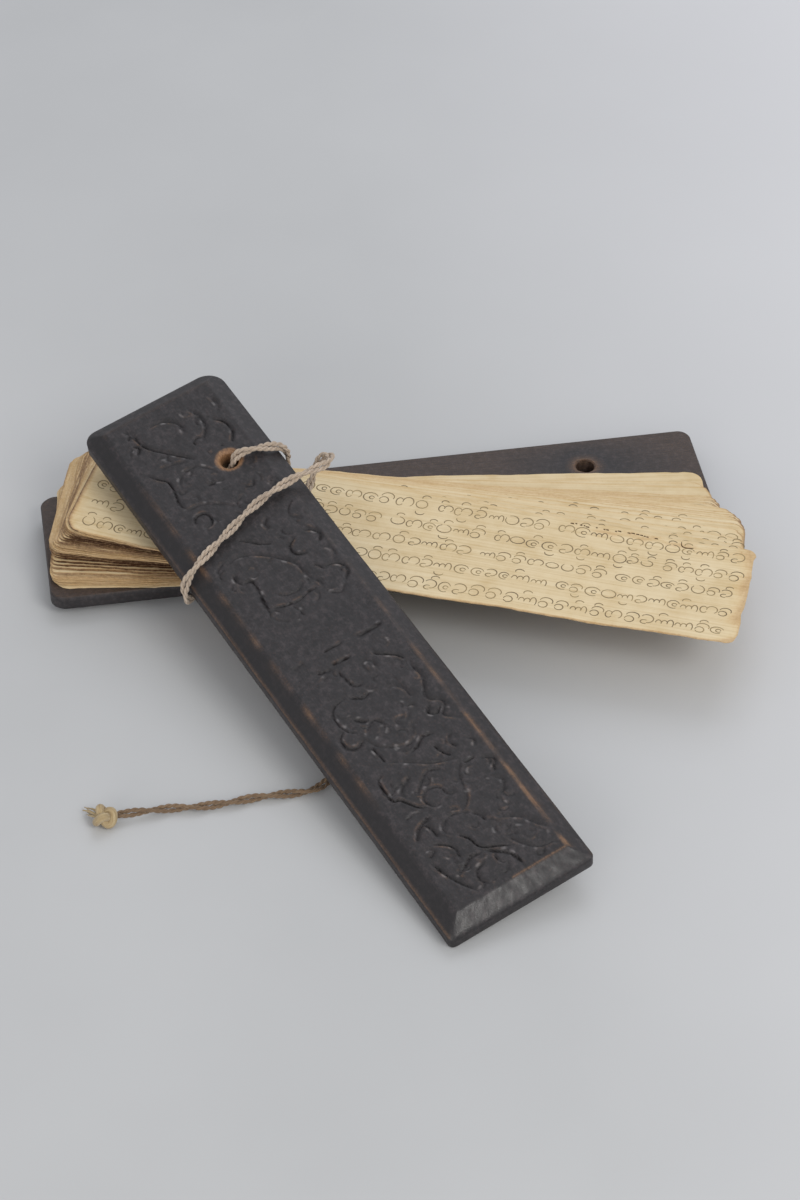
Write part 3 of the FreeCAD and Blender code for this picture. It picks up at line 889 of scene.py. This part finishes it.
def leaf_stain(n, X, Y, length, half):
    """Browning from 0 to 1: a thin line along the edges, wider and in patches at the ends."""
    away_side, away_end = half - abs(Y), length / 2 - abs(X)
    browned = 0.4 if n == 0 else 0.84 + 0.16 * spread(n, 9)
    front = (1 - Y / half) / 2
    line = np.clip(1.5 - away_side / 0.7, 0, 1) * browned * (0.58 + 0.42 * front)
    faint = np.clip(1.0 - away_side / 2.8, 0, 1) * browned * 0.45 * front
    ends = np.clip(1.4 - away_end / 0.8, 0, 1) * browned * 0.9
    patches = np.clip(1.0 - away_end / (5.0 + 3.5 * rumple(Y, 0, 21.0, n)), 0, 1) * 0.42
    stain = np.maximum(np.maximum(line, faint), np.maximum(ends, patches))
    if n == LEAF_COUNT - 1:
        # the scorched strip along the back edge, the brown right end and the red-brown left end
        inward = half - Y + 1.0 * rumple(X, 0, 15.0, 2.0)
        scorched = np.exp(-((inward - 2.4) / 1.9) ** 2) * np.clip((X - 44) / 16, 0, 1)
        stain = np.maximum(stain, 0.62 * scorched * np.clip(0.9 + 0.5 * rumple(X, Y, 24.0, 5.0), 0, 1))
        right_end = np.clip((X - length / 2 + 7 + 3 * rumple(Y, 0, 13.0, 1.0)) / 6, 0, 1)
        stain = np.maximum(stain, 0.66 * right_end)
        stain = np.maximum(stain, 0.95 * np.clip(1.0 - away_end / 3.2, 0, 1) * (X < 0))
    return stain


def leaf_hole(points, first, columns, count):
    """The cord hole: from the square of grid points round it to a circle, and through the leaf."""
    c, square = PATCH_CELLS, []
    for start, step in ((0, columns), (c * columns, 1), (c * columns + c, -columns), (c, -1)):
        square += [first + start + k * step for k in range(c)]
    centre = points[square].mean(0)
    rings, extra = [square], []
    for level in (0, count):
        start = len(points) + len(extra)
        for k in square:
            way = points[k][:2] - centre[:2]
            rim = centre[:2] + way / np.linalg.norm(way) * LEAF_HOLE_RADIUS
            extra.append([*rim, points[k + level][2]])
        rings.append(list(range(start, start + len(square))))
    rings.append([k + count for k in square])
    return np.vstack([points, extra]), turned(ring_faces(rings))


def make_leaf(n):
    length, half, hole, corners = leaf_size(n)
    xs, ys = leaf_grid(length, half, hole, n >= LEAF_COUNT - WRITTEN)
    X, Y = np.meshgrid(xs, ys, indexing="ij")
    rows, columns = X.shape
    count = rows * columns
    shape_x, shape_y = leaf_outline(n, X, Y, length, half, corners)
    level = skin_height(n, shape_x, shape_y)
    low = np.column_stack([shape_x.ravel(), shape_y.ravel(), level.ravel()])
    points = np.vstack([low + [0, 0, SKIN], low])
    hx = int(np.argmin(abs(xs - (hole[0] - PATCH))))
    hy = int(np.argmin(abs(ys - (hole[1] - PATCH))))
    cells = grid_faces(rows, columns)
    along, across = cells[:, 0] // columns - hx, cells[:, 0] % columns - hy
    gone = (along >= 0) & (along < PATCH_CELLS) & (across >= 0) & (across < PATCH_CELLS)
    top_cells = cells[~gone]
    faces = top_cells.tolist() + (top_cells[:, ::-1] + count).tolist()
    border = grid_border(rows, columns)
    faces += ring_faces([border, [b + count for b in border]])
    points, wall = leaf_hole(points, hx * columns + hy, columns, count)
    stain = leaf_stain(n, X, Y, length, half).ravel()
    stains = np.concatenate([stain, stain, np.full(len(points) - 2 * count, 0.5)])
    # every leaf gets veins of its own
    grain = points + [31.0 * n, 17.0 * n, 0]
    name = "palm_leaf_%02d" % (n + 1)
    placed = leaf_place(n, hole, points)
    piece = make_piece(name, placed, faces + wall, leaf_material, {"stain": stains, "grain": grain})
    set_sharp(piece, 50)
    node = "leaf_%02d" % (n + 1)
    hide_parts(node)
    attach(piece, node)
    return piece


leaves = [make_leaf(n) for n in range(LEAF_COUNT)]
print("leaves:", len(leaves), "points in the top one:", len(leaves[-1].data.vertices))

# %% [markdown]
# The scribe scratches the leaf with a stylus and rubs soot into the scratches. The marks here are no
# script: they are loops and hooks drawn at random from a fixed seed, in rows 8.7 mm apart, about as
# big and as round as such writing. Each scratch is a thin ribbon just over the leaf's skin.

# %% Scratched rows
ROW_PITCH, MARK_HEIGHT, SCRATCH = 8.7, 4.1, 0.40


def random_mark(draw):
    """Strokes of one mark, in units of its height."""
    def arc(cx, cy, rx, ry, first, last):
        t = np.linspace(math.radians(first), math.radians(last), 12)
        return np.column_stack([cx + rx * np.cos(t), cy + ry * np.sin(t)])
    kind = draw.randrange(6)
    a, b = draw.uniform(0.42, 0.62), draw.uniform(0.34, 0.5)
    if kind == 0:
        lines = [arc(a, 0.5, a, b, draw.uniform(100, 160), draw.uniform(420, 500))]
    elif kind == 1:
        lines = [arc(0.3, 0.42, 0.28, 0.36, 40, 330), arc(0.95, 0.5, 0.42, b, 190, -60)]
    elif kind == 2:
        lines = [arc(0.4, 0.3, 0.36, 0.3, 200, 540), arc(0.62, 0.66, 0.5, 0.36, 175, -25)]
    elif kind == 3:
        lines = [arc(0.25, 0.35, 0.22, 0.3, 180, 20), arc(0.7, 0.35, 0.24, 0.32, 190, 15),
                 arc(1.14, 0.4, 0.24, 0.42, 190, -40)]
    elif kind == 4:
        lines = [arc(a, 0.45, a, b, 20, 300), arc(a + 0.1, 0.42, 0.2, 0.16, 0, 330)]
    else:
        lines = [arc(0.5, 0.55, 0.5, 0.42, 150, -90), arc(0.34, 0.2, 0.3, 0.2, 60, 300)]
    if draw.random() < 0.28:
        lines.append(arc(draw.uniform(0.4, 0.8), 1.15, 0.34, 0.24, 200, 20))
    if draw.random() < 0.16:
        lines.append(arc(draw.uniform(0.4, 0.8), -0.28, 0.36, 0.26, 170, 350))
    return lines


def marks_on_leaf(name, n, flat, faces, material, above):
    """A piece of thin marks just over the skin of leaf n."""
    level = skin_height(n, flat[:, 0], flat[:, 1]) + SKIN + above
    placed = leaf_place(n, leaf_size(n)[2], np.column_stack([flat, level]))
    piece = make_piece(name, placed, faces, material, smooth=False)
    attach(piece, "leaf_%02d" % (n + 1))
    return len(faces)


def make_rows(n):
    draw = random.Random(400 + n)
    length, half, hole, _ = leaf_size(n)
    points, faces = [], []
    rows = [half - 4.6 - ROW_PITCH * k for k in range(6) if half - 4.6 - ROW_PITCH * k > -half + 1.0]
    for base in rows:
        x = -length / 2 + draw.uniform(4, 9)
        end = length / 2 - draw.uniform(2.5, 9)
        while x < end:
            size = MARK_HEIGHT * draw.uniform(0.88, 1.12)
            lines = random_mark(draw)
            width = max(line[:, 0].max() for line in lines) * size
            y0 = base - size / 2 + draw.uniform(-0.25, 0.25)
            for line in lines:
                path = line * [size, size] + [x, y0]
                to_hole = np.hypot(path[:, 0] - hole[0], path[:, 1] - hole[1]).min()
                if to_hole < 6 or abs(path[:, 1]).max() > half - 0.6:
                    continue
                way = np.gradient(path, axis=0)
                side = np.column_stack([-way[:, 1], way[:, 0]])
                side = side / np.linalg.norm(way, axis=1)[:, None] * SCRATCH / 2
                t = np.linspace(0, 1, len(path))[:, None]
                side = side * (0.45 + 0.55 * np.sin(math.pi * np.clip(t, 0.06, 0.94)) ** 0.5)
                path[:, 1:] += swell(path[:, :1], path[:, 1:], length, half)
                start = len(points)
                for one, two in zip(path + side, path - side):
                    points += [one, two]
                faces += [(start + k, start + k + 1, start + k + 3, start + k + 2)
                          for k in range(0, 2 * len(path) - 2, 2)]
            x += width + draw.uniform(0.3, 1.1) + (2.5 if draw.random() < 0.04 else 0)
    return marks_on_leaf("scratched_rows_%02d" % (n + 1), n, np.array(points), faces, mark_material, 0.02)


def scorched_dots():
    """Dark dots and dashes at the back edge of the top leaf, and the short crack beside them."""
    draw = random.Random(77)
    n = LEAF_COUNT - 1
    length, half, _, _ = leaf_size(n)
    points = []
    x = 50.0
    while x < 79:
        size = draw.uniform(0.5, 1.5)
        y = half - 1.5 + 0.35 * math.sin(x / 5) + draw.uniform(-0.25, 0.25)
        points += [(x, y - 0.22), (x + size, y - 0.3), (x + size * 0.8, y + 0.24), (x, y + 0.16)]
        x += size + draw.choice((0.15, 0.3, 0.9, 2.0))
    crack = curve_through([(87.6, half - 0.8), (88.0, half - 2.6), (89.4, half - 3.3), (92.0, half - 3.0)], 0.6)
    for one, two in zip(crack, crack[1:]):
        points += [(one[0], one[1] - 0.2), (two[0], two[1] - 0.2),
                   (two[0] + 0.2, two[1] + 0.2), (one[0] + 0.2, one[1] + 0.2)]
    faces = [(k, k + 1, k + 2, k + 3) for k in range(0, len(points), 4)]
    flat = np.array(points)
    flat[:, 1:] += swell(flat[:, :1], flat[:, 1:], length, half)
    return marks_on_leaf("scorched_dots", n, flat, faces, char_material, 0.03)


print("scorched dots:", scorched_dots())
print("faces in the scratched rows:", [make_rows(n) for n in range(LEAF_COUNT - WRITTEN, LEAF_COUNT)])

# %% [markdown]
# ## The cord
#
# The line of each stretch is a NURBS curve on the same route points as the structure. Two plies turn
# slowly round that line, once in 25 mm, and in each ply two yarns turn fast the other way, once in
# 4.6 mm. Each stretch starts where the lay of the last one stopped, so that no joint shows.

# %% Route and plies
CORD_DIA, STRUNG_DIA = 3.2, 2.3
PLY_TURN, YARN_TURN = 25.0, 4.6
# shares of the cord's width: how far plies and yarns lie off their middle, and the radius of a yarn
PLY_OFF, YARN_OFF, YARN_RADIUS = 0.255, 0.108, 0.158


def route_line(points):
    """The smooth line of a route as Blender's own curve gives it, in millimetres."""
    data = bpy.data.curves.new("route", "CURVE")
    data.dimensions = "3D"
    data.resolution_u = 48
    spline = data.splines.new("NURBS")
    spline.points.add(len(points) - 1)
    for point, place in zip(spline.points, points):
        point.co = (*(float(c) * MM for c in place), 1.0)
    spline.order_u = 3
    spline.use_endpoint_u = True
    holder = bpy.data.objects.new("route", data)
    bpy.context.scene.collection.objects.link(holder)
    mesh = bpy.data.meshes.new_from_object(holder)
    line = np.array([v.co for v in mesh.vertices]) / MM
    bpy.data.objects.remove(holder)
    bpy.data.meshes.remove(mesh)
    bpy.data.curves.remove(data)
    return line


FIRST_SIDE = np.array([0.6, 0.5, 0.3])


def carried_frames(line, side=FIRST_SIDE):
    """Directions across the line, carried along it without twisting."""
    way = np.gradient(line, axis=0)
    way /= np.linalg.norm(way, axis=1)[:, None]
    sides = []
    for d in way:
        side = side - d * (side @ d)
        side = side / np.linalg.norm(side)
        sides.append(side)
    sides = np.array(sides)
    return way, sides, np.cross(way, sides)


def way_gone(line):
    """Length along the line up to each of its points."""
    return np.concatenate([[0], np.cumsum(np.linalg.norm(np.diff(line, axis=0), axis=1))])


def round_way(one, two, angle):
    """Directions at these angles round the line, one for each of its points."""
    return one * np.cos(angle)[:, None] + two * np.sin(angle)[:, None]


def tube(line, radius, sides_count):
    """Points, faces and grain of a closed tube round the line; the radius may change along it."""
    _, one, two = carried_frames(line)
    radius = np.broadcast_to(radius, len(line))
    turn = np.linspace(0, 2 * math.pi, sides_count, endpoint=False)
    ring = one[:, None] * np.cos(turn)[None, :, None] + two[:, None] * np.sin(turn)[None, :, None]
    points = (line[:, None] + ring * radius[:, None, None]).reshape(-1, 3)
    gone = way_gone(line)
    grain = np.stack([np.repeat(gone, sides_count), np.tile(turn * 0.95, len(line)),
                      np.zeros(len(points))], 1)
    loops = [list(range(k * sides_count, (k + 1) * sides_count)) for k in range(len(line))]
    faces = turned(ring_faces(loops)) + [tuple(loops[0])] + turned([loops[-1]])
    return points, faces, grain


def laid_cord(line, dia, lay):
    """The four yarns along the line; lay says where the last stretch's twist stopped, and is moved on."""
    _, one, two = carried_frames(line, lay["side"])
    gone = way_gone(line)
    total = gone + lay["gone"]
    points, faces, grain = [], [], []
    for ply in (0, 1):
        angle = math.pi * ply + 2 * math.pi * total / PLY_TURN
        middle = line + round_way(one, two, angle) * dia * PLY_OFF
        for yarn in (0, 1):
            turn = math.pi * yarn + 1.3 * ply - 2 * math.pi * total / YARN_TURN
            lumpy = 1 + 0.08 * rumple(total, 0, 5.3, 1.0 + ply + 2 * yarn)
            centre = middle + round_way(one, two, turn) * dia * YARN_OFF
            p, f, g = tube(centre, dia * YARN_RADIUS * lumpy, 8)
            first = sum(len(q) for q in points)
            points.append(p)
            faces += [tuple(i + first for i in face) for face in f]
            grain.append(g + [0, 7.0 * ply + 3.0 * yarn, 0])
    lay["gone"], lay["side"] = total[-1], one[-1]
    return np.vstack(points), faces, np.vstack(grain), gone[-1]


def make_cord(name, route, dia, material, node, lay, slimmer=1.0):
    line = route_line(route)
    points, faces, grain, length = laid_cord(line, dia * slimmer, lay)
    piece = make_piece(name, points, faces, material, {"grain": grain})
    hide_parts(node)
    print(name, "length", round(length, 1), "mm")
    return piece, line, length


# %% [markdown]
# The route is that of the structure, so its points are repeated here: up through the leaves, into the
# leaning cover, twice over and under it, and down to the table, where the loose end lies.

# %% Route points, repeated from the structure
FACE_LEVEL, UNDER_LEVEL, CORD_OFF = COVER_THICK + 2.2, -2.15, 2.4
SIDE, SHOULDER = COVER_WIDTH / 2 + CORD_OFF, COVER_SIDE + 1.7
RIDGE = COVER_WIDTH / 2 - BEVEL_WIDTH + 0.9
lean = np.array(LEAN)
lean_way = unit_of(lean[3] - lean[2])
riser_end = lean[3] + lean_way
riser_route = [np.array([STRUNG[0], STRUNG[1], 4.6]), lean[0], lean[1], lean[2], riser_end]
last_way = unit_of(riser_end - lean[2])
link_route = [riser_end, riser_end + last_way * 4.5, *on_cover([(39.0, 9.5, -5.4), (39.0, 9.5, -0.4)])]
wrap_route = on_cover([
    (39.0, 9.5, -0.4),
    (39.0, 9.5, FACE_LEVEL - 0.1),
    (42.4, RIDGE, FACE_LEVEL + 0.1),
    (43.2, SIDE, SHOULDER),
    (44.6, SIDE, UNDER_LEVEL - 0.1),
    (49.6, 19.5, UNDER_LEVEL),
    (57.6, 3.5, UNDER_LEVEL - 0.1),
    (67.2, -13.0, UNDER_LEVEL),
    (75.2, -SIDE, UNDER_LEVEL - 0.1),
    (73.2, -SIDE, SHOULDER),
    (71.0, -RIDGE, FACE_LEVEL + 0.1),
    (66.8, -8.5, FACE_LEVEL),
    (60.8, 7.5, FACE_LEVEL + 0.1),
    (59.4, 22.0, FACE_LEVEL + 0.2),
    (59.9, 30.4, FACE_LEVEL - 0.3),
    (59.8, 36.6, FACE_LEVEL - 1.8),
    (54.4, 39.2, FACE_LEVEL - 4.0),
    (52.2, 35.4, 3.0),
    (55.4, 30.9, -1.5),
    (60.8, 22.1, UNDER_LEVEL - 0.2),
    (69.3, 10.6, UNDER_LEVEL - 0.1),
    (76.3, 0.1, UNDER_LEVEL - 0.2),
])
TAIL_LEVEL = CORD_DIA / 2 + 0.15
last_fall, first_laid = np.array([-43.4, -67.5, 4.4]), np.array([-34.6, -91.0, TAIL_LEVEL])
drop_foot = (last_fall + first_laid) / 2
drop_route = [
    wrap_route[-1],
    wrap_route[-1] + unit_of(wrap_route[-1] - wrap_route[-2]) * 6.5,
    (-45.4, -56.5, 15.8),
    last_fall,
    drop_foot,
]
tail_route = [
    drop_foot,
    first_laid,
    (-29.5, -108.0, TAIL_LEVEL),
    (-37.5, -120.5, TAIL_LEVEL),
    (-55.0, -119.2, TAIL_LEVEL),
    (-72.0, -121.2, TAIL_LEVEL),
    (-88.0, -119.6, TAIL_LEVEL),
    (-102.4, -121.4, TAIL_LEVEL + 1.4),
]

print("points of the route round the cover:", len(wrap_route))

# %% [markdown]
# The cord passes from body to body, so it is made in five stretches. One rides the cover. The other four
# stay where they are made and follow no body.

# %% Stretches of the cord
lay = {"gone": 0.0, "side": FIRST_SIDE}
riser = make_cord("cord_through_the_leaves", riser_route, STRUNG_DIA, cord_material, "cord_riser", lay)[0]
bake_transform(riser)
link = make_cord("cord_into_the_cover", link_route, STRUNG_DIA, cord_material, "cord_link", lay)[0]
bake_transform(link)
wrap, wrap_line, wrap_length = make_cord(
    "cord_round_the_cover", wrap_route, CORD_DIA, cord_material, "cord_wrap", lay)
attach(wrap, "cover")
drop, drop_line, drop_length = make_cord(
    "cord_down_to_the_table", drop_route, CORD_DIA, cord_material, "cord_drop", lay)
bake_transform(drop)
tail, tail_line, tail_length = make_cord(
    "cord_on_the_table", tail_route, CORD_DIA, tail_material, "cord_tail", lay, 0.92)
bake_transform(tail)

# %% [markdown]
# An overhand knot holds each end. Its line is the trefoil curve, drawn small and squashed, with a tube
# round it so thick that the turns press together.

# %% Knots
KNOT_PLY = 1.35


def make_knot(name, centre, way, across_mm, thick_mm, node, material):
    t = np.linspace(0, 2 * math.pi, 120, endpoint=False)
    x = np.sin(t) + 2 * np.sin(2 * t)
    y = np.cos(t) - 2 * np.cos(2 * t)
    z = -np.sin(3 * t)
    size = (across_mm / 2 - KNOT_PLY) / 3.0
    flat = np.column_stack([x * size, y * size, z * (thick_mm / 2 - KNOT_PLY)])
    way = unit_of(np.asarray(way, float))
    if abs(way[2]) > 0.9:
        line = np.asarray(centre) + flat
    else:
        side = unit_of(np.cross([0, 0, 1], way))
        up = np.cross(way, side)
        line = np.asarray(centre) + flat[:, :1] * way + flat[:, 1:2] * side + flat[:, 2:] * up
    line = np.vstack([line, line[:4]])
    points, faces, grain = tube(line, KNOT_PLY, 12)
    piece = make_piece(name, points, faces, material, {"grain": grain})
    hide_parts(node)
    return piece


def make_fray(name, start, end, count, seed):
    """Loose yarn ends that spread from the knot: thin tapering tubes."""
    draw = random.Random(seed)
    points, faces, grain = [], [], []
    start, end = np.asarray(start, float), np.asarray(end, float)
    for k in range(count):
        tip = end + np.array([draw.uniform(-1.5, 1.5), draw.uniform(-1.5, 1.5), draw.uniform(-0.6, 0.9)])
        bend = np.array([draw.uniform(-0.8, 0.8), draw.uniform(-0.8, 0.8), draw.uniform(0.0, 0.6)])
        line = curve_through([start, (start + tip) / 2 + bend, tip], 0.5)
        line[:, 2] = np.maximum(line[:, 2], 0.45)
        p, f, g = tube(line, np.linspace(0.42, 0.12, len(line)), 6)
        first = sum(len(q) for q in points)
        faces += [tuple(i + first for i in face) for face in f]
        points.append(p)
        grain.append(g + [0, 2.0 * k, 0])
    piece = make_piece(name, np.vstack(points), faces, knot_material, {"grain": np.vstack(grain)})
    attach(piece, "base")


end_way = unit_of(tail_route[-1] - np.array(tail_route[-2]))
knot_centre = tail_route[-1] + end_way * 3.6
end_knot = make_knot("knot_at_the_end", knot_centre, end_way, 8.4, 6.4, "end_knot", knot_material)
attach(end_knot, "base")
make_fray("frayed_ends", knot_centre + end_way * 1.5, (-111.0, -116.6, 1.4), 9, 5)
seat_centre = (STRUNG[0], STRUNG[1], 2.55)
stop_knot = make_knot("knot_under_the_cover", seat_centre, (0, 0, -1), 8.4, 4.6, "stop_knot", cord_material)
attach(stop_knot, "base")

print("knots:", end_knot.name, "and", stop_knot.name)

# %% [markdown]


# %% [markdown]
# ## Floor, light and camera
#
# The floor is one pale sheet of paper, with painted light: its colour grows paler along +x, towards the
# window lamp. It is much larger than the view, so that no edge of it shows.

# %% Floor
FLOOR_HALF = 3000.0
floor_material, tree = new_material("pale_paper_floor")
place = add(tree, "TexCoord", {}).outputs["Object"]
mottle = noise(tree, place, 6.0, 4.0)
pale = ramp(tree, mottle, (0.3, "c0c2c4"), (0.7, "c7c9cb"))
sides = add(tree, "SeparateXYZ", {0: place})
# painted light: the floor's colour turns paler along +x, towards the window lamp
window_light_share = add(tree, "MapRange", {"Value": sides.outputs["X"], "From Min": 0.02, "From Max": 0.32})
floor_with_painted_light = mix(tree, window_light_share.outputs[0], pale, colour("e2e3e7"))
finish_material(tree, {"Base Color": floor_with_painted_light, "Roughness": 0.9, "Specular IOR Level": 0.1})
corners = [(x * FLOOR_HALF, y * FLOOR_HALF, 0) for x, y in ((-1, -1), (1, -1), (1, 1), (-1, 1))]
floor = make_piece("floor", corners, [(0, 1, 2, 3)], floor_material, smooth=False)

# %% [markdown]
# The light is soft and plain. The sky gives most of it, but what the camera and the shiny wood see of it
# is a darker grey. A window lamp and a lamp at the wall give direction, and a white card at the left
# lightens the shaded edges.

# %% Light
scene = bpy.context.scene
scene.view_settings.view_transform = "Standard"
world = bpy.data.worlds.new("soft_room")
scene.world = world
world.use_nodes = True
tree = world.node_tree
tree.nodes.clear()
ray = add(tree, "LightPath", {})
seen = maths(tree, "MAXIMUM", ray.outputs["Is Camera Ray"], ray.outputs["Is Glossy Ray"])
sky = add(tree, "Background", {"Color": colour("f6f6f8"), "Strength": 0.60})
backdrop = add(tree, "Background", {"Color": colour("c4c6ca"), "Strength": 1.0})
chosen = add(tree, "MixShader", {0: seen, 1: sky.outputs[0], 2: backdrop.outputs[0]})
add(tree, "OutputWorld", {0: chosen.outputs[0]})


AIM = Vector((0, -0.06, 0))


def lamp(name, place, power, size, tint):
    data = bpy.data.lights.new(name, "AREA")
    data.energy = power
    data.size = size
    data.color = colour(tint)[:3]
    piece = bpy.data.objects.new(name, data)
    scene.collection.objects.link(piece)
    piece.location = place
    piece.rotation_euler = (AIM - Vector(place)).to_track_quat("-Z", "Y").to_euler()


lamp("window", (0.55, -0.95, 1.05), 6.6, 0.6, "fffdf8")
lamp("wall_light", (0.35, 0.75, 1.15), 4.2, 0.9, "f6f8ff")
lamp("white_card", (-0.70, -1.05, 0.34), 3.4, 0.7, "fff9f2")
print("lamps: 3")

# %% [markdown]
# The camera stands where the photograph was taken from. Its place, direction and lens were found by
# fitting both covers' corners to the picture.

# %% Camera
CAMERA_PLACE = np.array([-115.54, -756.35, 685.69])
LOOKING = unit_of(np.array([0.1168, 0.7196, -0.6845]))
RIGHT = np.array([0.9871, -0.1602, 0.0])
RIGHT = unit_of(RIGHT - LOOKING * (RIGHT @ LOOKING))
UP = np.cross(RIGHT, LOOKING)
data = bpy.data.cameras.new("camera")
data.sensor_width = 36.0
data.lens = 88.92
camera = bpy.data.objects.new("camera", data)
scene.collection.objects.link(camera)
turn = Matrix((RIGHT, UP, -LOOKING)).transposed()
camera.matrix_world = Matrix.Translation(Vector(CAMERA_PLACE * MM)) @ turn.to_4x4()
scene.camera = camera
print("camera is", round(float(np.linalg.norm(CAMERA_PLACE)) / 1000, 2), "m away")
